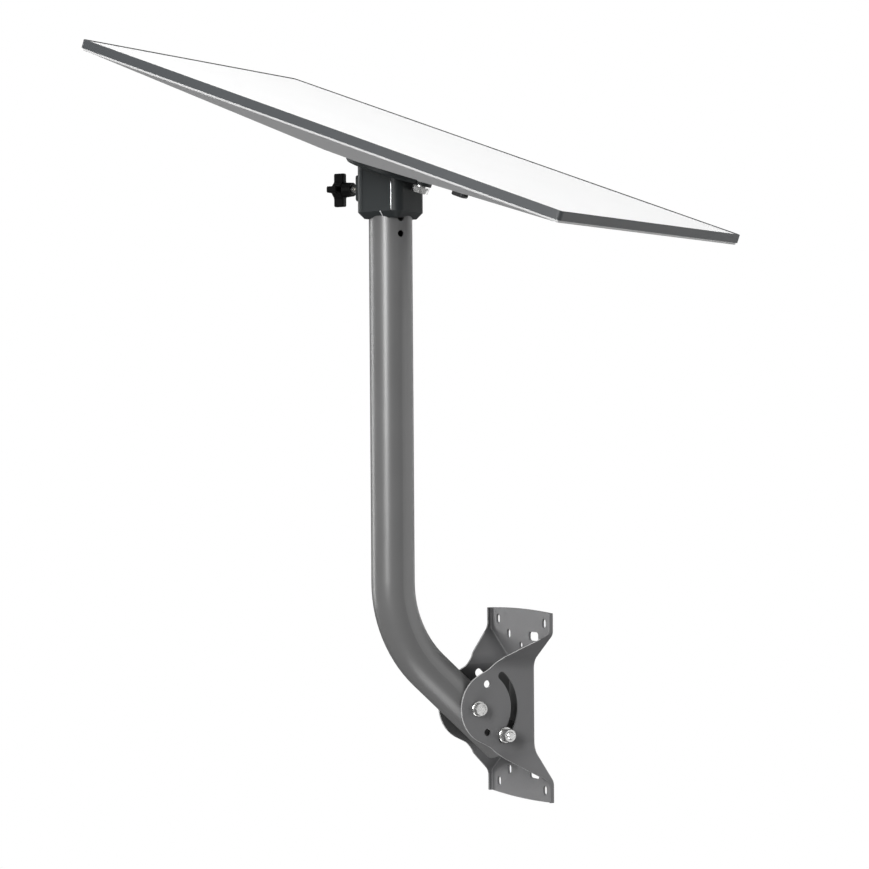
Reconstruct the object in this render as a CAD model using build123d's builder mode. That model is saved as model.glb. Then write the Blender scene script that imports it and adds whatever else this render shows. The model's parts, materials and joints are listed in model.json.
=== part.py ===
"""Flat-panel satellite dish on a J-shaped wall mast, as separate pieces with real joints.

Millimetres, +Z up. The origin is on the wall face of the foot bracket, level with the pivot
bolt and midway between the cheeks. The wall is the plane Y = 0, the mast stands off along -Y,
and the pivot bolt runs along X. The dish hangs on its own tilted plane, mount_plane.
"""
import os
from math import cos, radians, sin, tan

from build123d import *

# ---- driving dimensions -------------------------------------------------------------------
# foot bracket, one folded sheet
sheet = 2.5                      # sheet thickness
bend_radius = 4.0                # outside radius of the long bends
cheek_outer = 25.3               # cheek outside face from the centre plane
tab_half_width = 64.0            # wall tabs, half of the full width
tab_half_height = 100.5          # crown of the tabs above the pivot level
tab_edge_drop = 2.0              # the tab's outer corners sit lower than its crown
flange_depth = 6.0               # rolled side edge of the tabs
waist_half_height = 46.0         # the straight middle part ends here
shoulder_height = 76.0           # the diagonals reach the full width here
cheek_reach = 89.5               # furthest point of the cheek from the wall

# elevation pivot and its locking bolt
pivot_y = -69.4
lock_radius = 43.5               # locking bolt from the pivot
slot_width = 8.8
slot_half_angle = 49.0
bolt_radius = 4.0                # M8
index_hole = 3.9                 # radius of the two spare holes in each cheek
index_offset = (10.6, 25.3)      # from the pivot, towards the wall and up or down

# mast
tube_radius = 22.5
tube_wall = 2.0
mast_y = -156.0                  # axis of the upright
leg_angle = 48.0                 # lower leg from the vertical
mast_bend = 125.0                # centre-line radius
mast_top = 546.5
leg_end = 58.0                   # tube end past the pivot
cross_holes = (492.8, 509.0)     # heights of the cross-drilled holes
cross_hole_radius = 3.5

# dish attitude
tilt = 20.0
heading = 29.1                   # downhill direction, from +X towards +Y
mount_height = 560.0             # where the mast axis meets the back of the dish

# dish
dish_length = 594.0
dish_width = 383.0
dish_thickness = 39.7
dish_shift = 16.4                # dish centre downhill of the mast axis
corner_radius = 4.5
frame_depth = 9.0                # dark side frame
frame_lip = 1.3                  # frame edge seen round the radome
frame_proud = 1.0                # frame edge stands above the radome's skin
radome_back = 2.6                # depth of the radome's inner face
lip_height = 2.5                 # white edge of the rear shell
lip_inset = 1.5
shell_wall = 2.5
rim_size = (566.0, 355.0)        # where the rear shell starts to bulge
cavity_rim = (565.0, 354.0)
plateau_size = (44.0, 240.0)     # flat crest of the bulge
plateau_depth = 30.0
rim_step = 1.4                   # upright edge of the bulge where it leaves the lip
boss_radius = 43.0               # round mounting boss in the middle of the back
boss_shift = -2.5                # its centre, a little uphill of the mast axis
boss_lobe = 9.8                  # round ear of the boss at the flange bolt

# adapter between mast and dish
socket_size = 54.0
socket_corner = 10.0
socket_bottom = 509.0
socket_chamfer = 6.5
socket_bore = 22.9
flange_radius = 45.0
flange_thickness = 3.5
flange_lobe = 10.0
skirt_height = 3.2               # flange edge turned up round the boss
skirt_width = 1.8
flange_bolt_x = 42.0
flange_bolt_radius = 5.0         # M10
clamp_height = 542.0
clamp_boss = (24.0, 27.0, 8.0)   # across, up, proud of the socket wall
stud_radius = 3.95
knob_hub_start = 46.0            # from the mast axis
knob_star_start = 56.2
knob_star_end = 68.2
knob_tip_radius = 17.4
wing_width = 6.6

# ---- derived planes -----------------------------------------------------------------------
horizontal_downhill = Vector(cos(radians(heading)), sin(radians(heading)), 0)
downhill = horizontal_downhill * cos(radians(tilt)) - Vector(0, 0, sin(radians(tilt)))
dish_normal = horizontal_downhill * sin(radians(tilt)) + Vector(0, 0, cos(radians(tilt)))
mount_plane = Plane(origin=(0, mast_y, mount_height), x_dir=downhill, z_dir=dish_normal)
dish_face = Plane(
    origin=mount_plane.origin + downhill * dish_shift + dish_normal * dish_thickness,
    x_dir=downhill,
    z_dir=dish_normal,
)
clamp_plane = Plane(
    origin=(0, mast_y, clamp_height),
    x_dir=Vector(0, 0, 1),
    z_dir=-horizontal_downhill,
)
cheek_side = Plane(origin=(0, pivot_y, 0), x_dir=(0, 1, 0), z_dir=(1, 0, 0))
leg_direction = Vector(0, sin(radians(leg_angle)), -cos(radians(leg_angle)))
leg_end_point = Vector(0, pivot_y, 0) + leg_direction * leg_end
lock_point = leg_direction * lock_radius + Vector(0, pivot_y, 0)
bend_corner = Vector(0, mast_y, (pivot_y - mast_y) / tan(radians(leg_angle)))


def side_plane(x, point):
    """A plane facing +X at the given x, centred on a point of the mast's centre plane."""
    return Plane(origin=(x, point.Y, point.Z), x_dir=(0, 1, 0), z_dir=(1, 0, 0))


def side_plane_back(x, point):
    """The same, facing -X."""
    return Plane(origin=(x, point.Y, point.Z), x_dir=(0, 1, 0), z_dir=(-1, 0, 0))


# ---- fasteners ----------------------------------------------------------------------------
def thread_outline(radius, start, pitch, turns, tip):
    """Half outline of a bolt shank along -Y: a plain neck, ridged thread and a chamfered tip."""
    groove = 0.55 * pitch
    outline = [(0, 0), (radius, 0), (radius, -start)]
    for turn in range(turns):
        outline.append((radius - groove, -(start + (turn + 0.5) * pitch)))
        outline.append((radius, -(start + (turn + 1) * pitch)))
    end = start + turns * pitch + tip
    outline.append((radius - tip, -end))
    outline.append((0, -end))
    return outline


def hex_bolt(seat, radius, neck, pitch, turns, flats, head_height):
    """Hexagon bolt: the head stands on the seat plane, the shank runs to its back."""
    shank_plane = Plane(origin=seat.origin, x_dir=seat.x_dir, z_dir=-seat.y_dir)
    with BuildPart() as bolt:
        with BuildSketch(seat):
            RegularPolygon(radius=flats / 2, side_count=6, major_radius=False)
        extrude(amount=head_height)
        with BuildSketch(seat):
            Circle(flats * 0.56)
        extrude(amount=head_height, taper=8, mode=Mode.INTERSECT)
        with BuildSketch(seat.offset(head_height)):
            Circle(flats * 0.36)
        extrude(amount=-0.4, mode=Mode.SUBTRACT)
        with BuildSketch(shank_plane):
            with BuildLine():
                Polyline(*thread_outline(radius, neck, pitch, turns, 0.6), close=True)
            make_face()
        revolve(axis=Axis(seat.origin, seat.z_dir))
    return bolt


def hex_nut(seat, radius, flats, height):
    """Hexagon nut standing on the seat plane."""
    with BuildPart() as nut:
        with BuildSketch(seat):
            RegularPolygon(radius=flats / 2, side_count=6, major_radius=False)
        extrude(amount=height)
        with BuildSketch(seat):
            Circle(flats * 0.565)
        extrude(amount=height, taper=8, mode=Mode.INTERSECT)
        with BuildSketch(seat):
            Circle(radius)
        extrude(amount=height, mode=Mode.SUBTRACT)
        chamfer(nut.edges().filter_by(GeomType.CIRCLE).group_by(SortBy.RADIUS)[0], length=0.4)
    return nut


def washer_pair(planes, outer, inner, thickness):
    """One flat washer on each plane."""
    with BuildPart() as washers:
        with BuildSketch(*planes):
            Circle(outer)
            Circle(inner, mode=Mode.SUBTRACT)
        extrude(amount=thickness)
        chamfer(washers.edges().filter_by(GeomType.CIRCLE).group_by(SortBy.RADIUS)[-1], length=0.3)
    return washers


def spring_washer(seat, outer, inner, thickness, gap):
    """Split lock washer: a square-section ring with one slanting cut."""
    with BuildPart() as washer:
        with BuildSketch(seat):
            Circle(outer)
            Circle(inner, mode=Mode.SUBTRACT)
        extrude(amount=thickness)
        cut = Plane(origin=seat.origin, x_dir=seat.x_dir, z_dir=seat.y_dir)
        with BuildSketch(cut):
            with Locations((0, -thickness / 2)):
                Rectangle(gap, 3 * thickness, rotation=25)
        extrude(amount=2 * outer, mode=Mode.SUBTRACT)
    return washer


# ---- foot bracket -------------------------------------------------------------------------
def bracket_outline(inset, extra):
    """Front outline of the folded sheet: wide tabs, diagonals and a narrow waist."""
    tab = tab_half_width - inset
    waist = cheek_outer - inset
    crown = tab_half_height + extra
    corner = crown - tab_edge_drop
    with BuildLine(Plane.XZ) as outline:
        ThreePointArc((-tab, corner), (0, crown), (tab, corner))
        Line((tab, corner), (tab, shoulder_height))
        Line((tab, shoulder_height), (waist, waist_half_height))
        Line((waist, waist_half_height), (waist, -waist_half_height))
        Line((waist, -waist_half_height), (tab, -shoulder_height))
        Line((tab, -shoulder_height), (tab, -corner))
        ThreePointArc((tab, -corner), (0, -crown), (-tab, -corner))
        Line((-tab, -corner), (-tab, -shoulder_height))
        Line((-tab, -shoulder_height), (-waist, -waist_half_height))
        Line((-waist, -waist_half_height), (-waist, waist_half_height))
        Line((-waist, waist_half_height), (-tab, shoulder_height))
        Line((-tab, shoulder_height), (-tab, corner))
    return outline


waist_fillet = 16.0
shoulder_fillet = 9.0
past_edge = 20.0                 # lets the hollow run out through the tab ends
wire_outer = bracket_outline(0, 0).wire()
wire_inner = bracket_outline(sheet, past_edge).wire()

with BuildPart() as bracket_hollow:
    with BuildSketch(Plane.XZ.offset(sheet)):
        with BuildLine():
            add(Plane.XZ.to_local_coords(wire_inner))
        make_face()
    extrude(amount=cheek_reach)
    upright = bracket_hollow.edges().filter_by(Axis.Y)
    fillet(
        [edge for edge in upright if abs(abs(edge.center().Z) - waist_half_height) < 0.5],
        radius=waist_fillet + sheet,
    )
    fillet(
        [
            edge
            for edge in bracket_hollow.edges().filter_by(Axis.Y)
            if abs(abs(edge.center().Z) - shoulder_height) < 0.5
        ],
        radius=shoulder_fillet - sheet,
    )
    long_bends = [
        edge
        for edge in bracket_hollow.faces().sort_by(Axis.Y)[-1].edges()
        if abs(edge.center().Z) < tab_half_height
    ]
    fillet(long_bends, radius=bend_radius - sheet)

with BuildPart() as foot_bracket:
    with BuildSketch(Plane.XZ):
        with BuildLine():
            add(Plane.XZ.to_local_coords(wire_outer))
        make_face()
    extrude(amount=cheek_reach)
    fillet(
        [
            edge
            for edge in foot_bracket.edges().filter_by(Axis.Y)
            if abs(abs(edge.center().Z) - waist_half_height) < 0.5
        ],
        radius=waist_fillet,
    )
    fillet(
        [
            edge
            for edge in foot_bracket.edges().filter_by(Axis.Y)
            if abs(abs(edge.center().Z) - shoulder_height) < 0.5
        ],
        radius=shoulder_fillet,
    )
    wall_face = foot_bracket.faces().sort_by(Axis.Y)[-1]
    fillet(
        [edge for edge in wall_face.edges() if abs(edge.center().Z) < tab_half_height - 5],
        radius=bend_radius,
    )
    add(bracket_hollow.part, mode=Mode.SUBTRACT)
    # side view: round nose round the pivot, an S-curve down to the rolled tab edges
    with BuildSketch(Plane.YZ):
        with BuildLine():
            top = FilletPolyline(
                (-flange_depth, tab_half_height + 5),
                (-flange_depth, 77.0),
                (-42.0, 53.5),
                (-56.0, 40.5),
                (-68.3, 34.5),
                radius=(10, 30, 14),
            )
            bottom = FilletPolyline(
                (-flange_depth, -tab_half_height - 5),
                (-flange_depth, -77.0),
                (-42.0, -53.5),
                (-56.0, -40.5),
                (-68.3, -34.5),
                radius=(10, 30, 14),
            )
            ThreePointArc(top @ 1, (-cheek_reach, 0), bottom @ 1)
            Line(top @ 0, (5, tab_half_height + 5))
            Line((5, tab_half_height + 5), (5, -tab_half_height - 5))
            Line((5, -tab_half_height - 5), bottom @ 0)
        make_face()
    extrude(amount=tab_half_width + 5, both=True, mode=Mode.INTERSECT)
    # pivot holes, spare holes and the curved slot through both cheeks
    with BuildSketch(cheek_side):
        Circle(bolt_radius + 0.2)
        with Locations(index_offset, (index_offset[0], -index_offset[1])):
            Circle(index_hole)
        with BuildLine():
            slot_line = CenterArc((0, 0), lock_radius, -slot_half_angle, 2 * slot_half_angle)
        SlotArc(arc=slot_line, height=slot_width)
    extrude(amount=cheek_outer + 5, both=True, mode=Mode.SUBTRACT)
    # wall fixing holes in the tabs
    with BuildSketch(Plane.XZ):
        with GridLocations(94.0, 174.6, 2, 2):
            SlotOverall(10.0, 7.0, rotation=90)
        with Locations((-25.0, 72.5), (-25.0, -72.5)):
            SlotOverall(10.0, 7.0, rotation=90)
        with Locations((26.0, 72.5), (26.0, -72.5)):
            RectangleRounded(19.0, 9.4, 3.2)
        with Locations((0, 62.0), (0, -62.0)):
            Circle(3.25)
    extrude(amount=sheet + 1, mode=Mode.SUBTRACT)

# ---- pivot hardware, fixed to the bracket -------------------------------------------------
pivot_point = Vector(0, pivot_y, 0)
flat_washer = 1.6
hex_flats = 13.0
hex_head = 5.3
hex_nut_height = 6.5
pitch_m8 = 1.25

pivot_washers = washer_pair(
    [side_plane(cheek_outer, pivot_point), side_plane_back(-cheek_outer, pivot_point)],
    8.0,
    bolt_radius + 0.2,
    flat_washer,
)
pivot_bolt = hex_bolt(
    side_plane(cheek_outer + flat_washer, pivot_point),
    bolt_radius,
    neck=2 * cheek_outer,
    pitch=pitch_m8,
    turns=9,
    flats=hex_flats,
    head_height=hex_head,
)
pivot_nut = hex_nut(
    side_plane_back(-cheek_outer - flat_washer, pivot_point),
    bolt_radius,
    hex_flats,
    hex_nut_height,
)

# ---- mast ---------------------------------------------------------------------------------
with BuildPart() as j_pole:
    with BuildLine() as mast_line:
        FilletPolyline(leg_end_point, bend_corner, (0, mast_y, mast_top), radius=mast_bend)
    with BuildSketch(Plane(origin=leg_end_point, x_dir=(1, 0, 0), z_dir=-leg_direction)):
        Circle(tube_radius)
        Circle(tube_radius - tube_wall, mode=Mode.SUBTRACT)
    sweep(path=mast_line.wire())
    with BuildSketch(Plane.YZ):
        with Locations((pivot_y, 0)):
            Circle(bolt_radius + 0.08)
        with Locations((lock_point.Y, lock_point.Z)):
            Circle(bolt_radius + 0.3)
        with Locations(*[(mast_y, height) for height in cross_holes]):
            Circle(cross_hole_radius)
    extrude(amount=tube_radius + 5, both=True, mode=Mode.SUBTRACT)

with BuildPart() as pole_end_cap:
    with BuildSketch(Plane(origin=leg_end_point, x_dir=(1, 0, 0), z_dir=leg_direction)):
        Circle(tube_radius - 0.3)
    extrude(amount=2.5)
    chamfer(pole_end_cap.edges().sort_by(Axis(leg_end_point, leg_direction))[-1], length=1.0)
    with BuildSketch(Plane(origin=leg_end_point, x_dir=(1, 0, 0), z_dir=-leg_direction)):
        Circle(tube_radius - tube_wall)
        Circle(tube_radius - tube_wall - 2.0, mode=Mode.SUBTRACT)
    extrude(amount=8.0)

# the locking bolt rides with the mast, its washers sliding just clear of the cheeks
slide_gap = 0.1
lock_seat = cheek_outer + slide_gap
lock_washers = washer_pair(
    [side_plane(lock_seat, lock_point), side_plane_back(-lock_seat, lock_point)],
    8.3,
    bolt_radius + 0.2,
    flat_washer,
)
lock_spring_washer = spring_washer(
    side_plane(lock_seat + flat_washer, lock_point),
    6.6,
    bolt_radius + 0.1,
    2.0,
    1.2,
)
lock_nut = hex_nut(
    side_plane(lock_seat + flat_washer + 2.0, lock_point), bolt_radius, hex_flats, hex_nut_height
)
lock_bolt = hex_bolt(
    side_plane_back(-lock_seat - flat_washer, lock_point),
    bolt_radius,
    neck=2 * lock_seat + flat_washer,
    pitch=pitch_m8,
    turns=9,
    flats=hex_flats,
    head_height=hex_head,
)

# ---- adapter casting ----------------------------------------------------------------------
hook_x = -34.0                   # tongue on the uphill side, in dish coordinates
hook_width = 22.0
boss_recess = 5.0                # mounting plate thickness
boss_wall = 2.0
bore_top = mast_top + 0.8
pad_radius = 4.5
flange_chamfer = 2.0
pad_start = tube_radius + 0.15
pad_end = pad_start + 3.0
travel = 3.44
clamp_face = socket_size / 2 + clamp_boss[2]
bush_start = pad_end + travel + 0.4
socket_foot = Plane(
    origin=(0, mast_y, socket_bottom), x_dir=horizontal_downhill, z_dir=(0, 0, 1)
)
bolt_seat = mount_plane.offset(-flange_thickness)

with BuildPart() as adapter_socket:
    with BuildSketch(socket_foot):
        RectangleRounded(socket_size, socket_size, socket_corner)
    extrude(amount=socket_size * 1.5)
    chamfer(adapter_socket.faces().sort_by(Axis.Z)[0].edges(), length=socket_chamfer)
    with BuildSketch(clamp_plane):
        RectangleRounded(clamp_boss[1], clamp_boss[0], 3.0)
    extrude(amount=clamp_face)
    # mould seams, thin ribs up the two plain walls
    seam_x = socket_size / 2 - socket_corner
    with BuildSketch(socket_foot.offset(socket_chamfer)):
        with GridLocations(2 * seam_x, socket_size, 2, 2):
            Rectangle(0.9, 0.8)
    extrude(amount=socket_size)
    split(bisect_by=mount_plane.offset(-1), keep=Keep.BOTTOM)
    with BuildSketch(mount_plane):
        with Locations((boss_shift, 0)):
            Circle(flange_radius)
    extrude(amount=-flange_thickness)
    flange_foot = adapter_socket.edges().filter_by(GeomType.CIRCLE).group_by(SortBy.RADIUS)[-1]
    chamfer(flange_foot.sort_by(Axis(mount_plane.origin, dish_normal))[0], length=flange_chamfer)
    with BuildSketch(mount_plane):
        with Locations((flange_bolt_x, 0)):
            Circle(flange_lobe)
    extrude(amount=-flange_thickness)
    with BuildSketch(mount_plane):
        with Locations((boss_shift, 0)):
            Circle(flange_radius)
            Circle(flange_radius - skirt_width, mode=Mode.SUBTRACT)
        with Locations((flange_bolt_x, 0)):
            Circle(flange_lobe, mode=Mode.SUBTRACT)
    extrude(amount=skirt_height)
    # tongue that hooks over the edge of the slot in the dish's mounting plate
    with BuildSketch(mount_plane):
        with Locations((hook_x, 0)):
            Rectangle(5.0, hook_width)
    extrude(amount=boss_recess + 0.4)
    with BuildSketch(mount_plane.offset(boss_recess + 0.4)):
        with Locations((hook_x - 2.5, 0)):
            RectangleRounded(10.0, hook_width, 1.5)
    extrude(amount=2.6)
    with BuildSketch(socket_foot.offset(-1)):
        Circle(socket_bore)
    extrude(amount=bore_top - socket_bottom + 1, mode=Mode.SUBTRACT)
    with BuildSketch(clamp_plane):
        Circle(pad_radius + 0.4)
    extrude(amount=bush_start, mode=Mode.SUBTRACT)
    with BuildSketch(clamp_plane):
        Circle(6.0)
    extrude(amount=clamp_face + 1, mode=Mode.SUBTRACT)
    with BuildSketch(mount_plane):
        with Locations((flange_bolt_x, 0)):
            Circle(flange_bolt_radius + 0.3)
    extrude(amount=-flange_thickness - 1, mode=Mode.SUBTRACT)

with BuildPart() as clamp_bush:
    with BuildSketch(clamp_plane.offset(bush_start)):
        Circle(6.0)
        Circle(stud_radius + 0.07, mode=Mode.SUBTRACT)
    extrude(amount=clamp_face - bush_start)
    with BuildSketch(clamp_plane.offset(clamp_face)):
        Circle(7.6)
        Circle(stud_radius + 0.07, mode=Mode.SUBTRACT)
    extrude(amount=1.2)

flange_bolt_plane = Plane(
    origin=bolt_seat.origin + downhill * flange_bolt_x, x_dir=downhill, z_dir=-dish_normal
)
spring_height = 1.6
flange_washer = spring_washer(flange_bolt_plane, 8.4, flange_bolt_radius + 0.15, spring_height, 1.2)
flange_bolt = hex_bolt(
    flange_bolt_plane.offset(spring_height),
    flange_bolt_radius,
    neck=spring_height + flange_thickness,
    pitch=1.5,
    turns=3,
    flats=17.0,
    head_height=6.4,
)

# ---- clamp screw --------------------------------------------------------------------------
tip_radius = 2.42
tip_start = pad_end - 1.5
knob_bore_end = 62.5
with BuildPart() as clamp_pad:
    with BuildSketch(clamp_plane.offset(pad_start)):
        Circle(pad_radius)
    extrude(amount=pad_end - pad_start)
    with BuildSketch(clamp_plane.offset(pad_end)):
        Circle(tip_radius + 0.08)
    extrude(amount=tip_start - pad_end - 0.1, mode=Mode.SUBTRACT)

stud_neck = knob_hub_start + 2 - pad_end - 0.1
stud_profile_plane = Plane(
    origin=clamp_plane.origin, x_dir=clamp_plane.x_dir, z_dir=-clamp_plane.y_dir
)
with BuildPart() as clamp_stud:
    with BuildSketch(clamp_plane.offset(tip_start)):
        Circle(tip_radius)
    extrude(amount=pad_end - tip_start + 0.2)
    with BuildSketch(clamp_plane.offset(pad_end + 0.1)):
        Circle(stud_radius)
    extrude(amount=stud_neck)
    groove_start = clamp_face + 2.5
    groove_pitch = 1.25
    with BuildSketch(stud_profile_plane):
        for turn in range(5):
            with Locations((stud_radius, groove_start + turn * groove_pitch)):
                RegularPolygon(radius=0.7, side_count=4, major_radius=True)
    revolve(axis=Axis(clamp_plane.origin, clamp_plane.z_dir), mode=Mode.SUBTRACT)
    with BuildSketch(clamp_plane.offset(knob_hub_start + 1)):
        RegularPolygon(radius=stud_radius - 0.05, side_count=8)
    extrude(amount=knob_bore_end - knob_hub_start - 1)

with BuildPart() as clamp_knob:
    with BuildSketch(clamp_plane.offset(knob_star_start)) as star:
        Circle(8.6)
        with PolarLocations(0, 4):
            Rectangle(knob_tip_radius, wing_width, align=(Align.MIN, Align.CENTER))
        inner = [corner for corner in star.vertices() if Vector(corner).length < 10]
        fillet(inner, radius=4.0)
        tips = [corner for corner in star.vertices() if Vector(corner).length > 17]
        fillet(tips, radius=1.4)
    extrude(amount=knob_star_end - knob_star_start)
    chamfer(clamp_knob.faces().sort_by(Axis(clamp_plane.origin, clamp_plane.z_dir))[-1].edges(), 0.9)
    chamfer(clamp_knob.faces().sort_by(Axis(clamp_plane.origin, clamp_plane.z_dir))[0].edges(), 0.9)
    with BuildSketch(clamp_plane.offset(knob_hub_start)):
        Circle(7.2)
    with BuildSketch(clamp_plane.offset(knob_star_start)):
        Circle(7.9)
    loft()
    with BuildSketch(clamp_plane.offset(knob_hub_start)):
        Circle(stud_radius + 0.02)
    extrude(amount=knob_bore_end - knob_hub_start + 0.5, mode=Mode.SUBTRACT)
    with BuildSketch(clamp_plane.offset(knob_star_end)):
        Circle(5.2)
    extrude(amount=-0.7, mode=Mode.SUBTRACT)

# ---- dish, outer pieces -------------------------------------------------------------------
screw_half_x = 290.0
screw_half_y = 184.5
screw_columns = 5
shelf_depth = 7.5                # inner shelf of the side frame starts here
shelf_opening = (568.0, 357.0)


def edge_screw_places():
    """Housing screws round the rim: five along each long side, one in each short side."""
    step = 2 * screw_half_x / (screw_columns - 1)
    places = [
        (-screw_half_x + column * step, side * screw_half_y)
        for column in range(screw_columns)
        for side in (-1, 1)
    ]
    return places + [(-screw_half_x, 0), (screw_half_x, 0)]


with BuildPart() as radome:
    radome_gap = 0.1
    radome_inset = 2 * (frame_lip + radome_gap)
    with BuildSketch(dish_face.offset(-frame_proud)):
        RectangleRounded(
            dish_length - radome_inset, dish_width - radome_inset, corner_radius - frame_lip
        )
    extrude(amount=frame_proud - radome_back)
    top_edges = radome.faces().sort_by(Axis(dish_face.origin, dish_face.z_dir))[-1].edges()
    chamfer(top_edges, length=0.3)

with BuildPart() as side_frame:
    with BuildSketch(dish_face):
        RectangleRounded(dish_length, dish_width, corner_radius)
    extrude(amount=-frame_depth)
    outer_rim = side_frame.faces().sort_by(Axis(dish_face.origin, dish_face.z_dir))[-1].edges()
    fillet(outer_rim, radius=0.6)
    with BuildSketch(dish_face):
        RectangleRounded(
            dish_length - 2 * frame_lip, dish_width - 2 * frame_lip, corner_radius - frame_lip
        )
    extrude(amount=-radome_back, mode=Mode.SUBTRACT)
    with BuildSketch(dish_face.offset(-radome_back)):
        RectangleRounded(dish_length - 6.0, dish_width - 6.0, corner_radius - 3.0)
    extrude(amount=-(shelf_depth - radome_back), mode=Mode.SUBTRACT)
    with BuildSketch(dish_face):
        RectangleRounded(*shelf_opening, 3.0)
    extrude(amount=-frame_depth, mode=Mode.SUBTRACT)
    with BuildSketch(dish_face.offset(-3.5)):
        with Locations(*edge_screw_places()):
            Circle(4.6)
    extrude(amount=3.5 - frame_depth)
    with BuildSketch(dish_face.offset(-4.5)):
        with Locations(*edge_screw_places()):
            Circle(1.3)
    extrude(amount=4.5 - frame_depth, mode=Mode.SUBTRACT)

gasket_line = (573.4, 362.4)     # outside size of the seal between frame and rear shell
gasket_width = 2.0
gasket_groove = 0.8
with BuildPart() as perimeter_gasket:
    with BuildSketch(dish_face.offset(-frame_depth)):
        RectangleRounded(*gasket_line, 5.0)
        RectangleRounded(
            gasket_line[0] - 2 * gasket_width,
            gasket_line[1] - 2 * gasket_width,
            3.0,
            mode=Mode.SUBTRACT,
        )
    extrude(amount=-gasket_groove)

inlet_x = 89.0 - dish_shift      # cable inlet, downhill of the dish centre
inlet_size = (15.5, 12.5)
inlet_corner = 3.5
inlet_flange = (21.5, 18.5)
inlet_top = 20.0                 # depths of the inlet housing
inlet_bottom = 41.2
vent_place = (-92.0, 62.0)
vent_depth = 26.5
vent_seat = 7.5                  # radius of the flat seat under the vent's cap

rim_depth = frame_depth + lip_height
long_section = Plane(origin=dish_face.origin, x_dir=downhill, z_dir=-dish_face.y_dir)
cross_section = Plane(origin=dish_face.origin, x_dir=dish_face.y_dir, z_dir=downhill)


def roof_outline(rim, crest, start, end, step):
    """Corners of one cross section of the roof, from its rim down to its crest and back."""
    half = [(rim / 2, -start), (rim / 2, -start - step), (crest / 2, -end)]
    return half + [(-across, depth) for across, depth in reversed(half)]


def shallow_roof(rim, crest, start, end, step):
    """A shallow four-sided roof pointing down: rim and crest sizes, and their two depths.

    An upright edge as high as the step comes before the slopes.
    """
    with BuildPart() as roof:
        with BuildSketch(long_section):
            with BuildLine():
                Polyline(*roof_outline(rim[0], crest[0], start, end, step), close=True)
            make_face()
        extrude(amount=dish_width, both=True)
        with BuildSketch(cross_section):
            with BuildLine():
                Polyline(*roof_outline(rim[1], crest[1], start, end, step), close=True)
            make_face()
        extrude(amount=dish_length, both=True, mode=Mode.INTERSECT)
    return roof


bulge = shallow_roof(rim_size, plateau_size, rim_depth, plateau_depth, rim_step)
bulge_cavity = shallow_roof(
    cavity_rim, plateau_size, frame_depth, plateau_depth - shell_wall, rim_step
)

with BuildPart() as rear_shell:
    with BuildSketch(dish_face.offset(-frame_depth)):
        RectangleRounded(
            dish_length - 2 * lip_inset, dish_width - 2 * lip_inset, corner_radius - lip_inset
        )
    extrude(amount=-lip_height)
    lip_edge = rear_shell.faces().sort_by(Axis(dish_face.origin, dish_face.z_dir))[0].edges()
    fillet(lip_edge, radius=1.4)
    add(bulge.part)
    with BuildSketch(mount_plane):
        with Locations((boss_shift, 0)):
            Circle(boss_radius)
        with Locations((flange_bolt_x, 0)):
            Circle(boss_lobe)
    extrude(amount=dish_thickness - plateau_depth + 6)
    with BuildSketch(dish_face.offset(-vent_depth)):
        with Locations(vent_place):
            Circle(vent_seat)
    extrude(amount=vent_depth - plateau_depth + 8)
    add(bulge_cavity.part, mode=Mode.SUBTRACT)
    # seat of the metal mounting plate, and the space the adapter's tongue needs above it
    with BuildSketch(mount_plane):
        with Locations((boss_shift, 0)):
            Circle(boss_radius - boss_wall)
        with Locations((flange_bolt_x, 0)):
            Circle(boss_lobe - boss_wall)
    extrude(amount=boss_recess, mode=Mode.SUBTRACT)
    with BuildSketch(mount_plane):
        with Locations((hook_x - 1.5, 0)):
            RectangleRounded(13.0, hook_width + 2, 2.0)
    extrude(amount=boss_recess + 4.2, mode=Mode.SUBTRACT)
    with BuildSketch(mount_plane):
        with PolarLocations(30.0, 4, start_angle=45):
            Circle(1.7)
        with Locations((flange_bolt_x, 0)):
            Circle(flange_bolt_radius + 1.0)
    extrude(amount=16, mode=Mode.SUBTRACT)
    with BuildSketch(dish_face.offset(-frame_depth)):
        RectangleRounded(gasket_line[0] + 0.2, gasket_line[1] + 0.2, 5.1)
        RectangleRounded(
            gasket_line[0] - 2 * gasket_width - 0.2,
            gasket_line[1] - 2 * gasket_width - 0.2,
            2.9,
            mode=Mode.SUBTRACT,
        )
    extrude(amount=-gasket_groove, mode=Mode.SUBTRACT)
    with BuildSketch(dish_face.offset(-frame_depth)):
        with Locations(*edge_screw_places()):
            Circle(1.6)
    extrude(amount=-lip_height - 2, mode=Mode.SUBTRACT)
    with BuildSketch(dish_face.offset(-frame_depth - 1.2)):
        with Locations(*edge_screw_places()):
            Circle(3.1)
    extrude(amount=-3.0, mode=Mode.SUBTRACT)
    with BuildSketch(dish_face.offset(-frame_depth)):
        with Locations((inlet_x, 0)):
            RectangleRounded(inlet_size[0] + 0.4, inlet_size[1] + 0.4, inlet_corner + 0.2)
        with Locations(vent_place):
            Circle(4.1)
    extrude(amount=-40, mode=Mode.SUBTRACT)

with BuildPart() as housing_screws:
    with BuildSketch(dish_face.offset(-frame_depth - 1.2)):
        with Locations(*edge_screw_places()):
            Circle(2.8)
    extrude(amount=-1.3)
    with BuildSketch(dish_face.offset(-frame_depth - 1.2)):
        with Locations(*edge_screw_places()):
            Circle(1.3)
    extrude(amount=5.0)
    with BuildSketch(dish_face.offset(-frame_depth - 2.5)):
        with Locations(*edge_screw_places()):
            RegularPolygon(radius=1.35, side_count=6)
    extrude(amount=0.9, mode=Mode.SUBTRACT)

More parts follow.
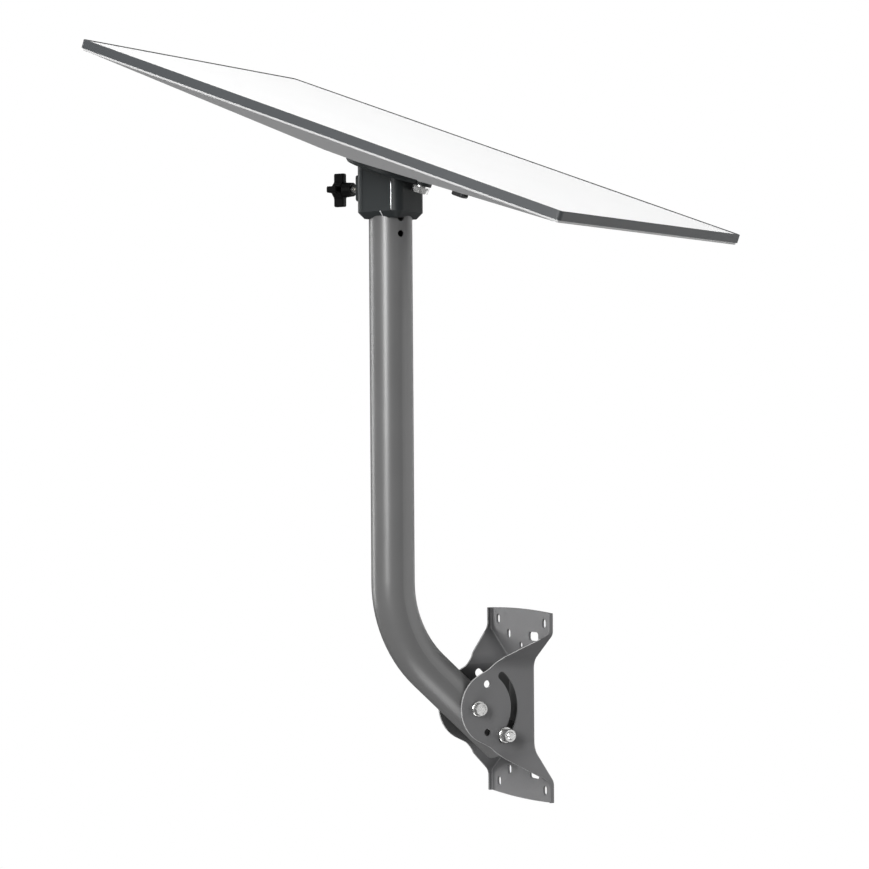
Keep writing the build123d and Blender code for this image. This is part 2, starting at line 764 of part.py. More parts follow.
with BuildPart() as mount_plate:
    with BuildSketch(mount_plane):
        with Locations((boss_shift, 0)):
            Circle(boss_radius - boss_wall - 0.2)
        with Locations((flange_bolt_x, 0)):
            Circle(boss_lobe - boss_wall - 0.2)
            Circle(flange_bolt_radius + 0.03, mode=Mode.SUBTRACT)
        with Locations((hook_x - 1.5, 0)):
            RectangleRounded(11.5, hook_width + 2, 1.5, mode=Mode.SUBTRACT)
        with PolarLocations(30.0, 4, start_angle=45):
            Circle(2.2, mode=Mode.SUBTRACT)
    extrude(amount=boss_recess)
    with BuildSketch(mount_plane):
        with PolarLocations(30.0, 4, start_angle=45):
            Circle(4.2)
    extrude(amount=2.0, taper=45, mode=Mode.SUBTRACT)

with BuildPart() as mount_screws:
    with BuildSketch(mount_plane.offset(0.1)):
        with PolarLocations(30.0, 4, start_angle=45):
            Circle(3.9)
    extrude(amount=1.9, taper=45)
    with BuildSketch(mount_plane.offset(0.1)):
        with PolarLocations(30.0, 4, start_angle=45):
            Circle(1.65)
    extrude(amount=13.0)
    with BuildSketch(mount_plane.offset(0.1)):
        with PolarLocations(30.0, 4, start_angle=45):
            RegularPolygon(radius=1.4, side_count=6)
    extrude(amount=1.2, mode=Mode.SUBTRACT)

# cable inlet: a hooded housing with its mouth facing downhill, a shielded jack and a seal
mouth_width = 9.0
mouth_height = 6.4
mouth_depth_centre = 36.2        # depth of the mouth's middle below the front face
mouth_reach = 11.0
mouth_plane = Plane(
    origin=dish_face.origin
    + downhill * (inlet_x + inlet_size[0] / 2)
    - dish_normal * mouth_depth_centre,
    x_dir=dish_face.y_dir,
    z_dir=downhill,
)
with BuildPart() as inlet_housing:
    with BuildSketch(dish_face.offset(-inlet_top)):
        with Locations((inlet_x, 0)):
            RectangleRounded(*inlet_flange, 3.0)
    extrude(amount=-1.5)
    with BuildSketch(dish_face.offset(-inlet_top)):
        with Locations((inlet_x, 0)):
            RectangleRounded(*inlet_size, inlet_corner)
    extrude(amount=inlet_top - inlet_bottom)
    floor_edges = inlet_housing.faces().sort_by(Axis(dish_face.origin, dish_face.z_dir))[0].edges()
    chamfer(floor_edges, length=1.0)
    with BuildSketch(mouth_plane):
        RectangleRounded(mouth_width, mouth_height, 1.5)
    extrude(amount=-mouth_reach, mode=Mode.SUBTRACT)

with BuildPart() as inlet_jack:
    with BuildSketch(mouth_plane.offset(0.2 - mouth_reach)):
        RectangleRounded(mouth_width - 0.6, mouth_height - 0.6, 1.4)
    extrude(amount=3.4)
    with BuildSketch(mouth_plane.offset(0.2 - mouth_reach)):
        Rectangle(mouth_width - 3.4, 1.2)
    extrude(amount=6.6)

with BuildPart() as inlet_seal:
    with BuildSketch(mouth_plane.offset(-1.2)):
        RectangleRounded(mouth_width - 0.1, mouth_height - 0.1, 1.4)
        RectangleRounded(mouth_width - 2.4, mouth_height - 2.4, 0.8, mode=Mode.SUBTRACT)
    extrude(amount=-2.4)

with BuildPart() as vent_plug:
    with BuildSketch(dish_face.offset(-vent_depth + 4)):
        with Locations(vent_place):
            Circle(4.0)
    extrude(amount=-4.0)
    with BuildSketch(dish_face.offset(-vent_depth - 0.6)):
        with Locations(vent_place):
            Circle(6.5)
    extrude(amount=-1.8)
    chamfer(vent_plug.edges().sort_by(Axis(dish_face.origin, dish_face.z_dir))[0], length=0.8)
    with BuildSketch(dish_face.offset(-vent_depth)):
        with Locations(vent_place):
            Circle(4.0)
    extrude(amount=-0.8)

# ---- dish, inner pieces -------------------------------------------------------------------
board_size = (560.0, 350.0)
lattice_thickness = 3.6
sheet_thickness = 0.5
board_thickness = 1.6
chip_columns = 12
chip_rows = 7
chip_step = (36.0, 36.0)
chip_height = 1.0
pad_height = 1.0
spreader_size = (460.0, 300.0)
spreader_thickness = 2.0
sheet_depth = radome_back + lattice_thickness
board_depth = sheet_depth + sheet_thickness
chip_depth = board_depth + board_thickness
pad_depth = chip_depth + chip_height
spreader_depth = pad_depth + pad_height
power_depth = 16.0
power_size = (150.0, 78.0)
link_place = (-40.0, 0)
post_places = (130.0, 60.0)

with BuildPart() as spacer_lattice:
    with BuildSketch(dish_face.offset(-radome_back)):
        Rectangle(*board_size)
        with GridLocations(46.0, 34.0, 12, 10):
            Rectangle(42.0, 30.0, mode=Mode.SUBTRACT)
    extrude(amount=-lattice_thickness)

with BuildPart() as patch_sheet:
    with BuildSketch(dish_face.offset(-sheet_depth)):
        Rectangle(*board_size)
    extrude(amount=-sheet_thickness)

with BuildPart() as antenna_board:
    with BuildSketch(dish_face.offset(-board_depth)):
        Rectangle(*board_size)
    extrude(amount=-board_thickness)

with BuildPart() as beamformer_chips:
    with BuildSketch(dish_face.offset(-chip_depth)):
        with GridLocations(*chip_step, chip_columns, chip_rows):
            Rectangle(9.0, 9.0)
    extrude(amount=-chip_height)

with BuildPart() as thermal_pads:
    with BuildSketch(dish_face.offset(-pad_depth)):
        with GridLocations(*chip_step, chip_columns, chip_rows):
            Rectangle(12.0, 12.0)
    extrude(amount=-pad_height)

with BuildPart() as heat_spreader:
    with BuildSketch(dish_face.offset(-spreader_depth)):
        RectangleRounded(*spreader_size, 6.0)
        with Locations(link_place):
            Rectangle(12.0, 48.0, mode=Mode.SUBTRACT)
    extrude(amount=-spreader_thickness)

with BuildPart() as board_posts:
    with BuildSketch(dish_face.offset(-spreader_depth - spreader_thickness)):
        with GridLocations(*post_places, 2, 2):
            RegularPolygon(radius=3.0, side_count=6)
    extrude(amount=spreader_depth + spreader_thickness - power_depth)

with BuildPart() as power_board:
    with BuildSketch(dish_face.offset(-power_depth)):
        RectangleRounded(*power_size, 2.0)
    extrude(amount=-board_thickness)

with BuildPart() as power_shield:
    shield_depth = power_depth + board_thickness
    with BuildSketch(dish_face.offset(-shield_depth)):
        RectangleRounded(84.0, 56.0, 2.0)
    extrude(amount=-4.5)
    with BuildSketch(dish_face.offset(-shield_depth)):
        RectangleRounded(83.0, 55.0, 1.5)
    extrude(amount=-4.0, mode=Mode.SUBTRACT)

with BuildPart() as board_link:
    with BuildSketch(dish_face.offset(-chip_depth)):
        with Locations(link_place):
            Rectangle(6.0, 40.0)
    extrude(amount=chip_depth - power_depth)

with BuildPart() as gnss_module:
    with BuildSketch(dish_face.offset(-radome_back - 0.4)):
        with Locations((23.0, 17.0)):
            RectangleRounded(18.0, 18.0, 1.0)
    extrude(amount=0.4 - lattice_thickness)

# ---- hand over ----------------------------------------------------------------------------
pieces = {
    "foot_bracket": foot_bracket,
    "pivot_washers": pivot_washers,
    "pivot_bolt": pivot_bolt,
    "pivot_nut": pivot_nut,
    "j_pole": j_pole,
    "pole_end_cap": pole_end_cap,
    "lock_washers": lock_washers,
    "lock_spring_washer": lock_spring_washer,
    "lock_nut": lock_nut,
    "lock_bolt": lock_bolt,
    "adapter_socket": adapter_socket,
    "clamp_bush": clamp_bush,
    "flange_washer": flange_washer,
    "flange_bolt": flange_bolt,
    "clamp_pad": clamp_pad,
    "clamp_stud": clamp_stud,
    "clamp_knob": clamp_knob,
    "radome": radome,
    "side_frame": side_frame,
    "perimeter_gasket": perimeter_gasket,
    "rear_shell": rear_shell,
    "housing_screws": housing_screws,
    "mount_plate": mount_plate,
    "mount_screws": mount_screws,
    "inlet_housing": inlet_housing,
    "inlet_jack": inlet_jack,
    "inlet_seal": inlet_seal,
    "vent_plug": vent_plug,
    "spacer_lattice": spacer_lattice,
    "patch_sheet": patch_sheet,
    "antenna_board": antenna_board,
    "beamformer_chips": beamformer_chips,
    "thermal_pads": thermal_pads,
    "heat_spreader": heat_spreader,
    "board_posts": board_posts,
    "power_board": power_board,
    "power_shield": power_shield,
    "board_link": board_link,
    "gnss_module": gnss_module,
}
os.makedirs("parts", exist_ok=True)
for name, piece in pieces.items():
    piece.part.label = name
    export_step(piece.part, f"parts/{name}.step")
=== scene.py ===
"""Looks for the flat-panel satellite dish on its wall mast. Metres, the frame's own axes."""
import json
import math

import bmesh
import bpy
from mathutils import Matrix, Vector


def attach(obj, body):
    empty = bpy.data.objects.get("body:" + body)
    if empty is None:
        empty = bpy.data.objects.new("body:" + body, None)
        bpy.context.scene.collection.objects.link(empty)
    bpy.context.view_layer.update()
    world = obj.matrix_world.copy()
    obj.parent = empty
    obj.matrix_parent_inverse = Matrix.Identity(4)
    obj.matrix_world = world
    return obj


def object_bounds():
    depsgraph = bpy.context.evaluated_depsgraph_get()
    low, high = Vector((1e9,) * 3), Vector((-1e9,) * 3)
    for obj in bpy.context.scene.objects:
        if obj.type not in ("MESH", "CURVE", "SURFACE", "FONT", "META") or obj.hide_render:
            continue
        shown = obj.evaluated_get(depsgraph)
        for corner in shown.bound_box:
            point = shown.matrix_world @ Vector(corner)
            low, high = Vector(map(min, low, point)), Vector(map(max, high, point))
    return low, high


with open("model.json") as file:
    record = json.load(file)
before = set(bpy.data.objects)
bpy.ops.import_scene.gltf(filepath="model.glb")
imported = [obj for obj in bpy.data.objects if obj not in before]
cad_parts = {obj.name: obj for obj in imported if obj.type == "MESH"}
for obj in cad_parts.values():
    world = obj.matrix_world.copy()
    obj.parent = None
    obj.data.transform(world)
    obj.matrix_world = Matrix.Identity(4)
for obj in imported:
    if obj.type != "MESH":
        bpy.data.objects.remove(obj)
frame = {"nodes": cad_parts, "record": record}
cad_low, cad_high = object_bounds()
nodes = frame["nodes"]
centre = (cad_low + cad_high) / 2

# ---- the object's own places, in metres from the wall face and the pivot's height ----------
pivot_stand_off = 0.0694
mast_stand_off = 0.156
channel_half_width = 0.0236      # inside the thickness of a cheek, so its inner face is within
lit_edge_start = 0.0135         # cut edges nearer to the wall than this get no painted highlight
shell_lip_depth = 0.0117         # below the dish's face, just past the rear shell's lip, which is painted lighter
dish_tilt = math.radians(20.0)
dish_heading = math.radians(29.1)
mount_height = 0.56              # where the mast axis meets the back of the dish
dish_shift = 0.0164              # dish centre downhill of the mast axis
dish_thickness = 0.0397

# ---- camera -------------------------------------------------------------------------------
camera_place = Vector((2.476, -1.494, 0.292))
camera_azimuth = math.radians(60.72)
camera_elevation = math.radians(0.12)
camera_roll = math.radians(-0.40)
camera_lens = 112.76

camera_data = bpy.data.cameras.new("studio_camera")
camera_data.lens = camera_lens
camera_data.sensor_width = 36.0
camera_data.clip_start = 0.05
camera_data.clip_end = 60.0
camera = bpy.data.objects.new("studio_camera", camera_data)
bpy.context.scene.collection.objects.link(camera)
bpy.context.scene.camera = camera
back = Vector(
    (
        math.sin(camera_azimuth) * math.cos(camera_elevation),
        -math.cos(camera_azimuth) * math.cos(camera_elevation),
        math.sin(camera_elevation),
    )
)
right = Vector((math.cos(camera_azimuth), math.sin(camera_azimuth), 0.0))
up = back.cross(right)
rolled_right = right * math.cos(camera_roll) + up * math.sin(camera_roll)
rolled_up = up * math.cos(camera_roll) - right * math.sin(camera_roll)
camera.matrix_world = Matrix.Translation(camera_place) @ Matrix(
    (rolled_right, rolled_up, back)
).transposed().to_4x4()


# ---- studio -------------------------------------------------------------------------------
def area_light(name, place, target, size, watts):
    """A rectangular softbox at a place, aimed at a target."""
    data = bpy.data.lights.new(name, "AREA")
    data.shape = "RECTANGLE"
    data.size, data.size_y = size
    data.energy = watts
    lamp = bpy.data.objects.new(name, data)
    bpy.context.scene.collection.objects.link(lamp)
    lamp.location = place
    direction = Vector(target) - Vector(place)
    lamp.rotation_euler = direction.to_track_quat("-Z", "Y").to_euler()
    lamp.visible_camera = False


def seen_or_felt(tree, seen, felt):
    """One shader for what the camera sees directly, another for the light that it gives."""
    path = tree.nodes.new("ShaderNodeLightPath")
    mix = tree.nodes.new("ShaderNodeMixShader")
    tree.links.new(path.outputs["Is Camera Ray"], mix.inputs["Fac"])
    tree.links.new(felt, mix.inputs[1])
    tree.links.new(seen, mix.inputs[2])
    return mix.outputs["Shader"]


def stage_floor():
    """A wide pale floor well below the hanging object, white to the camera, open from below."""
    mesh = bpy.data.meshes.new("studio_floor")
    reach, drop = 30.0, 1.6
    level = cad_low.z - drop
    corners = [(-reach, -reach), (reach, -reach), (reach, reach), (-reach, reach)]
    mesh.from_pydata([(x, y, level) for x, y in corners], [], [(0, 1, 2, 3)])
    floor = bpy.data.objects.new("studio_floor", mesh)
    bpy.context.scene.collection.objects.link(floor)
    material = bpy.data.materials.new("studio_paper")
    material.use_nodes = True
    tree = material.node_tree
    tree.nodes.clear()
    output = tree.nodes.new("ShaderNodeOutputMaterial")
    paper = tree.nodes.new("ShaderNodeBsdfDiffuse")
    paper.inputs["Color"].default_value = (0.3, 0.3, 0.3, 1)
    glow = tree.nodes.new("ShaderNodeEmission")
    glow.inputs["Color"].default_value = (1, 1, 1, 1)
    glow.inputs["Strength"].default_value = 1.0
    shown = seen_or_felt(tree, glow.outputs["Emission"], paper.outputs["BSDF"])
    side = tree.nodes.new("ShaderNodeNewGeometry")
    clear = tree.nodes.new("ShaderNodeBsdfTransparent")
    one_sided = tree.nodes.new("ShaderNodeMixShader")
    tree.links.new(side.outputs["Backfacing"], one_sided.inputs["Fac"])
    tree.links.new(shown, one_sided.inputs[1])
    tree.links.new(clear.outputs["BSDF"], one_sided.inputs[2])
    tree.links.new(one_sided.outputs["Shader"], output.inputs["Surface"])
    mesh.materials.append(material)


def studio_world():
    """White to the camera; for the object a dim room that is brighter overhead."""
    world = bpy.data.worlds.new("studio_world")
    bpy.context.scene.world = world
    world.use_nodes = True
    tree = world.node_tree
    tree.nodes.clear()
    output = tree.nodes.new("ShaderNodeOutputWorld")
    shown = tree.nodes.new("ShaderNodeBackground")
    shown.inputs["Color"].default_value = (1, 1, 1, 1)
    fill = tree.nodes.new("ShaderNodeBackground")
    place = tree.nodes.new("ShaderNodeTexCoord")
    split = tree.nodes.new("ShaderNodeSeparateXYZ")
    height = tree.nodes.new("ShaderNodeMapRange")
    height.inputs["From Min"].default_value = -0.2
    height.inputs["To Min"].default_value = 0.2
    height.inputs["To Max"].default_value = 0.42
    tree.links.new(place.outputs["Generated"], split.inputs["Vector"])
    tree.links.new(split.outputs["Z"], height.inputs["Value"])
    tree.links.new(height.outputs["Result"], fill.inputs["Strength"])
    shader = seen_or_felt(tree, shown.outputs["Background"], fill.outputs["Background"])
    tree.links.new(shader, output.inputs["Surface"])


def ring_place(azimuth, height, distance):
    """A point round the object at an azimuth from +X, in degrees."""
    angle = math.radians(azimuth)
    return centre + Vector((distance * math.cos(angle), distance * math.sin(angle), height))


studio_world()
stage_floor()
dish_aim = centre + Vector((0, 0, 0.3))
foot = Vector((0.0, -0.08, 0.06))
area_light("key_softbox", ring_place(-60, 0.85, 2.6), dish_aim, (0.55, 1.9), 118)
area_light("back_softbox", ring_place(-150, 0.3, 2.4), centre, (0.5, 2.0), 26)
area_light("low_softbox", foot + Vector((0.21, -0.15, -0.5)), foot, (0.3, 0.3), 1.2)
area_light("right_softbox", ring_place(66, -0.1, 2.4), centre, (3.0, 2.4), 40)
area_light("rim_softbox", ring_place(116, 0.3, 2.2), centre, (0.25, 2.2), 6)
area_light("top_softbox", centre + Vector((0.1, 0.0, 2.4)), centre, (2.6, 2.6), 44)
bpy.context.scene.view_settings.view_transform = "Standard"


# ---- materials ----------------------------------------------------------------------------
def new_material(name):
    """A plain node material, with its tree, its shader and a mapping in object metres."""
    material = bpy.data.materials.new(name)
    material.use_nodes = True
    tree = material.node_tree
    shader = tree.nodes["Principled BSDF"]
    place = tree.nodes.new("ShaderNodeTexCoord")
    return material, tree, shader, place.outputs["Object"]


def noise(tree, place, scale, detail=4.0, rough=0.55):
    """Noise texture at a scale in cycles per metre."""
    node = tree.nodes.new("ShaderNodeTexNoise")
    node.inputs["Scale"].default_value = scale
    node.inputs["Detail"].default_value = detail
    node.inputs["Roughness"].default_value = rough
    tree.links.new(place, node.inputs["Vector"])
    return node.outputs["Fac"]


def ramp(tree, factor, stops):
    """Colour ramp with (position, colour) stops."""
    node = tree.nodes.new("ShaderNodeValToRGB")
    elements = node.color_ramp.elements
    while len(elements) < len(stops):
        elements.new(0.5)
    for element, (position, colour) in zip(elements, stops):
        element.position = position
        element.color = (*colour, 1)
    tree.links.new(factor, node.inputs["Fac"])
    return node.outputs["Color"]


def scaled(tree, value, low, high):
    """Maps 0..1 onto low..high."""
    node = tree.nodes.new("ShaderNodeMapRange")
    node.inputs["To Min"].default_value = low
    node.inputs["To Max"].default_value = high
    tree.links.new(value, node.inputs["Value"])
    return node.outputs["Result"]


def bump(tree, shader, height, strength, distance):
    """Bump from a height, its distance in metres."""
    node = tree.nodes.new("ShaderNodeBump")
    node.inputs["Strength"].default_value = strength
    node.inputs["Distance"].default_value = distance
    tree.links.new(height, node.inputs["Height"])
    tree.links.new(node.outputs["Normal"], shader.inputs["Normal"])


def math_node(tree, operation, first, second=0.0):
    """A Math node; each input is a number or another node's output."""
    node = tree.nodes.new("ShaderNodeMath")
    node.operation = operation
    for socket, value in zip(node.inputs, (first, second)):
        if isinstance(value, (int, float)):
            socket.default_value = value
        else:
            tree.links.new(value, socket)
    return node.outputs["Value"]


def blended(tree, factor, first, second):
    """Mixes two colours; each is a colour tuple or another node's output."""
    node = tree.nodes.new("ShaderNodeMix")
    node.data_type = "RGBA"
    tree.links.new(factor, node.inputs["Factor"])
    for socket, value in zip((node.inputs["A"], node.inputs["B"]), (first, second)):
        if isinstance(value, tuple):
            socket.default_value = (*value, 1)
        else:
            tree.links.new(value, socket)
    return node.outputs["Result"]


drift_scale = 14.0        # slow colour drift, cycles per metre
gloss_spread = 0.06       # how far the roughness wanders to either side
painted_shade_reach = 0.02        # how near a wall must be for painted shade to gather
plate_darkening = 0.78    # the darkest cloud of a plated face, against its colour


def coated(name, colour, grain, grain_depth, roughness, variation=0.12, gloss=0.5, painted_shade_factor=0.45):
    """Powder coat or moulded skin: fine grain, slow colour drift, uneven gloss, and painted shade
    that darkens its recesses.
    """
    material, tree, shader, place = new_material(name)
    dark = tuple(c * (1 - variation) for c in colour)
    light = tuple(min(1.0, c * (1 + variation)) for c in colour)
    slow = noise(tree, place, drift_scale, 5.0)
    fine = noise(tree, place, grain, 3.0, 0.6)
    drift = math_node(tree, "MULTIPLY", scaled(tree, slow, 0.1, 1.0), 0.5)
    mixed = math_node(tree, "ADD", math_node(tree, "MULTIPLY", fine, 0.45), drift)
    paint = ramp(tree, mixed, [(0.25, dark), (0.75, light)])
    # painted shade: an occlusion mask darkens creases, recesses and gaps between parts towards a
    # darker copy of the colour
    hollow = tree.nodes.new("ShaderNodeAmbientOcclusion")
    hollow.samples = 6
    hollow.inputs["Distance"].default_value = painted_shade_reach
    painted_shade = tuple(c * painted_shade_factor for c in colour)
    paint = blended(tree, hollow.outputs["AO"], painted_shade, paint)
    tree.links.new(paint, shader.inputs["Base Color"])
    gloss_drift = scaled(tree, fine, roughness - gloss_spread, roughness + gloss_spread)
    tree.links.new(gloss_drift, shader.inputs["Roughness"])
    shader.inputs["Specular IOR Level"].default_value = gloss
    bump(tree, shader, fine, 0.5, grain_depth)
    return material


def repaint(material, factor, colour, roughness=None):
    """Lays another colour over a finished material where the factor is 1."""
    tree = material.node_tree
    shader = tree.nodes["Principled BSDF"]
    below = shader.inputs["Base Color"].links[0].from_socket
    tree.links.new(blended(tree, factor, below, colour), shader.inputs["Base Color"])
    if roughness is not None:
        rough = shader.inputs["Roughness"].links[0].from_socket
        node = tree.nodes.new("ShaderNodeMix")
        tree.links.new(factor, node.inputs["Factor"])
        tree.links.new(rough, node.inputs["A"])
        node.inputs["B"].default_value = roughness
        tree.links.new(node.outputs["Result"], shader.inputs["Roughness"])


def object_place(tree):
    """Object position and normal as separate X, Y, Z outputs."""
    source = tree.nodes.new("ShaderNodeTexCoord")
    parts = []
    for name in ("Object", "Normal"):
        split = tree.nodes.new("ShaderNodeSeparateXYZ")
        tree.links.new(source.outputs[name], split.inputs["Vector"])
        parts.append([split.outputs[axis] for axis in "XYZ"])
    return parts


def depth_below(tree, origin, direction):
    """Distance of a point from a plane, along a direction, in metres."""
    source = tree.nodes.new("ShaderNodeTexCoord")
    node = tree.nodes.new("ShaderNodeVectorMath")
    node.operation = "DOT_PRODUCT"
    tree.links.new(source.outputs["Object"], node.inputs[0])
    node.inputs[1].default_value = direction
    return math_node(tree, "SUBTRACT", node.outputs["Value"], origin.dot(direction))


def plated(name, colour, roughness):
    """Bright plated or rolled metal with a cloudy tone and a fine grain."""
    material, tree, shader, place = new_material(name)
    grain = noise(tree, place, 900.0, 2.0, 0.7)
    cloud = noise(tree, place, 120.0, 4.0)
    dark = tuple(c * plate_darkening for c in colour)
    tree.links.new(ramp(tree, cloud, [(0.3, dark), (0.7, colour)]), shader.inputs["Base Color"])
    gloss_drift = scaled(tree, grain, roughness - 0.07, roughness + 0.12)
    tree.links.new(gloss_drift, shader.inputs["Roughness"])
    shader.inputs["Metallic"].default_value = 1.0
    bump(tree, shader, grain, 0.25, 0.00004)
    return material


materials = {
    "bracket_coating": coated("bracket_powder_coat", (0.094, 0.094, 0.096), 1500, 0.00009, 0.5),
    "mast_coating": coated("mast_powder_coat", (0.092, 0.092, 0.092), 2600, 0.00003, 0.35),
    "casting_coating": coated(
        "casting_paint", (0.013, 0.016, 0.017), 1900, 0.00004, 0.55, gloss=0.3, painted_shade_factor=0.1
    ),
    "knob_plastic": coated("knob_nylon", (0.0025, 0.0025, 0.0025), 2500, 0.00003, 0.4, gloss=0.12),
    "black_plastic": coated("black_plastic", (0.03, 0.031, 0.032), 2200, 0.00004, 0.5),
    "zinc": plated("zinc_plate", (0.78, 0.78, 0.77), 0.25),
    "stainless": plated("stainless_steel", (0.62, 0.62, 0.62), 0.3),
    "brass": plated("machined_brass", (0.8, 0.6, 0.28), 0.3),
    "radome_white": coated(
        "radome_skin", (0.86, 0.86, 0.86), 3000, 0.00001, 0.42, variation=0.02, painted_shade_factor=0.7
    ),
    "frame_grey": coated(
        "frame_plastic", (0.036, 0.039, 0.042), 2400, 0.00002, 0.5, gloss=0.4, painted_shade_factor=0.2
    ),
    # painted shade: the rear shell is white plastic, coloured grey here as in shade; its lip is
    # painted lighter
    "shell_white": coated(
        "shell_plastic", (0.41, 0.41, 0.415), 2400, 0.00003, 0.5, variation=0.03, painted_shade_factor=0.8
    ),
    "seal_rubber": coated("seal_rubber", (0.02, 0.02, 0.02), 1800, 0.00003, 0.7),
    "bare_aluminium": plated("rolled_aluminium", (0.77, 0.78, 0.79), 0.35),
    "jack_shield": plated("tinned_shield", (0.75, 0.75, 0.74), 0.22),
    "lattice_plastic": coated("lattice_foam", (0.72, 0.71, 0.66), 1200, 0.0001, 0.8),
    "patch_film": coated("patch_film", (0.55, 0.36, 0.17), 300, 0.00001, 0.4),
    "board_green": coated("solder_mask", (0.02, 0.13, 0.05), 600, 0.00002, 0.35),
    "chip_black": coated("chip_epoxy", (0.015, 0.015, 0.015), 3000, 0.00002, 0.5),
    "pad_grey": coated("thermal_pad", (0.35, 0.38, 0.42), 1500, 0.00004, 0.7),
    "ceramic": coated("patch_ceramic", (0.7, 0.66, 0.55), 1500, 0.00002, 0.4),
}

# the dish's own directions: downhill and across over the ground, its face normal, and downhill
# in its plane
upward = Vector((0.0, 0.0, 1.0))
ground_downhill = Vector((math.cos(dish_heading), math.sin(dish_heading), 0.0))
ground_across = Vector((-math.sin(dish_heading), math.cos(dish_heading), 0.0))
dish_normal = ground_downhill * math.sin(dish_tilt) + upward * math.cos(dish_tilt)
dish_downhill = ground_downhill * math.cos(dish_tilt) - upward * math.sin(dish_tilt)
mast_axis = Vector((0.0, -mast_stand_off, 0.0))
dish_middle = mast_axis + upward * mount_height
dish_middle += dish_downhill * dish_shift + dish_normal * dish_thickness


def paint_lit_lip():
    """Painted light on one plastic: the rim of the rear shell is painted a lighter, glossier copy
    of the shell's colour, as where it is lit, while the bulge below keeps the darker copy, as in
    shade.
    """
    material = materials["shell_white"]
    tree = material.node_tree
    depth = depth_below(tree, dish_middle, -dish_normal)
    on_lip = math_node(tree, "LESS_THAN", depth, shell_lip_depth)
    # painted highlight: a lighter grey on the lip of the shell
    repaint(material, on_lip, (0.44, 0.44, 0.44), 0.4)


def paint_edge_highlights():
    """Painted highlight: the sheet's cut edges round the cheeks, where they face outward, are
    painted a lighter, patchy grey, as where they catch the light.
    """
    material = materials["bracket_coating"]
    tree = material.node_tree
    place, normal = object_place(tree)
    from_pivot = math_node(tree, "ADD", place[1], pivot_stand_off)
    outward = math_node(
        tree,
        "ADD",
        math_node(tree, "MULTIPLY", normal[1], from_pivot),
        math_node(tree, "MULTIPLY", normal[2], place[2]),
    )
    sideways = math_node(tree, "ABSOLUTE", normal[0])
    on_edge = math_node(
        tree,
        "MULTIPLY",
        math_node(tree, "GREATER_THAN", outward, 0.005),
        math_node(tree, "LESS_THAN", sideways, 0.35),
    )
    on_cheek = math_node(tree, "LESS_THAN", place[1], -lit_edge_start)
    edge_patchiness = noise(tree, tree.nodes.new("ShaderNodeTexCoord").outputs["Object"], 260.0, 4.0, 0.7)
    lit_edge = math_node(tree, "MULTIPLY", on_edge, on_cheek)
    edge_highlight = math_node(tree, "MULTIPLY", lit_edge, scaled(tree, edge_patchiness, 0.35, 1.0))
    # painted highlight: lighter grey on the cheeks' outward cut edges
    repaint(material, edge_highlight, (0.42, 0.42, 0.42), 0.35)


def paint_channel_shade():
    """Painted shade darkens the middle of the bracket: the channel and both sides of its web."""
    material = materials["bracket_coating"]
    tree = material.node_tree
    place, _ = object_place(tree)
    off_middle = math_node(tree, "ABSOLUTE", place[0])
    inside = math_node(tree, "LESS_THAN", off_middle, channel_half_width)
    height = math_node(tree, "ABSOLUTE", place[2])
    full_to, gone_at, strongest = 0.028, 0.048, 0.85
    fade = tree.nodes.new("ShaderNodeMapRange")
    fade.inputs["From Min"].default_value = full_to
    fade.inputs["From Max"].default_value = gone_at
    fade.inputs["To Min"].default_value = strongest
    fade.inputs["To Max"].default_value = 0.0
    tree.links.new(height, fade.inputs["Value"])
    shaded = math_node(tree, "MULTIPLY", inside, fade.outputs["Result"])
    # painted shade: near black inside the channel, fading out above and below
    repaint(material, shaded, (0.018, 0.018, 0.018), 0.8)


paint_lit_lip()
paint_channel_shade()
paint_edge_highlights()
node_slot = {part["node"]: part["material_slot"] for part in frame["record"]["subparts"]}
for name, node in nodes.items():
    node.data.materials.clear()
    node.data.materials.append(materials[node_slot[name]])


# ---- detail pieces ------------------------------------------------------------------------
def add_piece(name, mesh, material, body):
    """Puts a finished mesh in the scene on a body, with its material."""
    piece = bpy.data.objects.new(name, mesh)
    bpy.context.scene.collection.objects.link(piece)
    mesh.materials.append(material)
    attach(piece, body)
    return piece


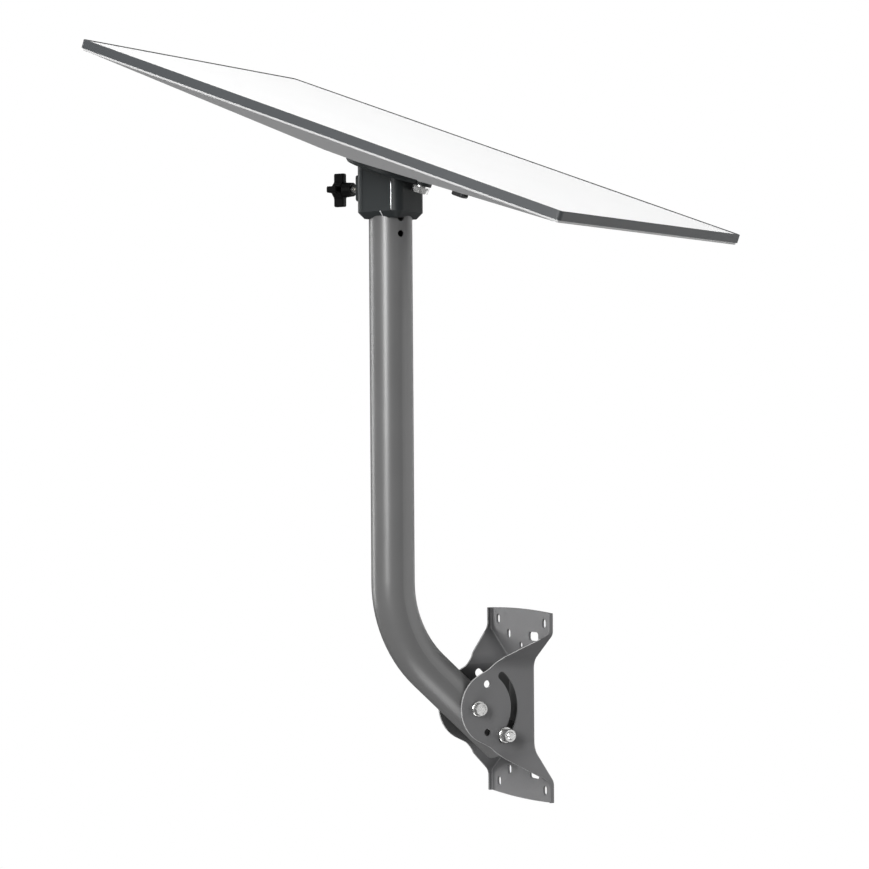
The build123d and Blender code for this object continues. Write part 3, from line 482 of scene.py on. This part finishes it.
def bead_mesh(name, points, radius, steps=12):
    """A smooth round bead along a straight run of points, with ends that taper and close."""
    bead = bmesh.new()
    line = [Vector(point) for point in points]
    ahead = (line[-1] - line[0]).normalized()
    side = ahead.orthogonal().normalized()
    lift = ahead.cross(side)
    cap = ahead * radius
    stations = [(line[0] - cap, 0.0), (line[0] - cap * 0.5, 0.75)]
    stations += [(point, 1.0) for point in line]
    stations += [(line[-1] + cap * 0.5, 0.75), (line[-1] + cap, 0.0)]
    rings = []
    for middle, share in stations:
        if share == 0.0:
            rings.append([bead.verts.new(middle)])
            continue
        ring = []
        for step in range(steps):
            angle = 2 * math.pi * step / steps
            spoke = side * math.cos(angle) + lift * math.sin(angle)
            ring.append(bead.verts.new(middle + spoke * radius * share))
        rings.append(ring)
    for first, second in zip(rings, rings[1:]):
        for step in range(steps):
            after = (step + 1) % steps
            if len(first) == 1:
                bead.faces.new((first[0], second[after], second[step]))
            elif len(second) == 1:
                bead.faces.new((first[step], first[after], second[0]))
            else:
                bead.faces.new((first[step], first[after], second[after], second[step]))
    bmesh.ops.recalc_face_normals(bead, faces=bead.faces)
    mesh = bpy.data.meshes.new(name)
    bead.to_mesh(mesh)
    bead.free()
    for face in mesh.polygons:
        face.use_smooth = True
    return mesh


def casting_point(downhill, across, height):
    """A point on the adapter casting, in metres from the mast axis and above the pivot."""
    return mast_axis + ground_downhill * downhill + ground_across * across + upward * height


def casting_seam_highlight():
    """A raised ridge upright on a corner of the socket, drawn as the mould's parting line, in
    bright bare metal as a painted highlight along that corner.
    """
    rise = 0.0048
    line = [casting_point(0.018, -0.0271, 0.5165 + rise * step) for step in range(7)]
    return bead_mesh("casting_seam_highlight", line, 0.00062)


def casting_flash_highlight():
    """A short flash line that slants down the chamfer at the foot of the socket, in bright bare
    metal as a painted highlight.
    """
    fall = 0.0017
    line = [casting_point(0.0046, -0.0268 + fall * step, 0.5155 - fall * step) for step in range(4)]
    return bead_mesh("casting_flash_highlight", line, 0.00065)


# painted highlight: bright bare metal on the casting's ridges where its corners catch the light
highlight_metal = materials["bare_aluminium"]
add_piece("casting_seam_highlight", casting_seam_highlight(), highlight_metal, "head")
add_piece("casting_flash_highlight", casting_flash_highlight(), highlight_metal, "head")
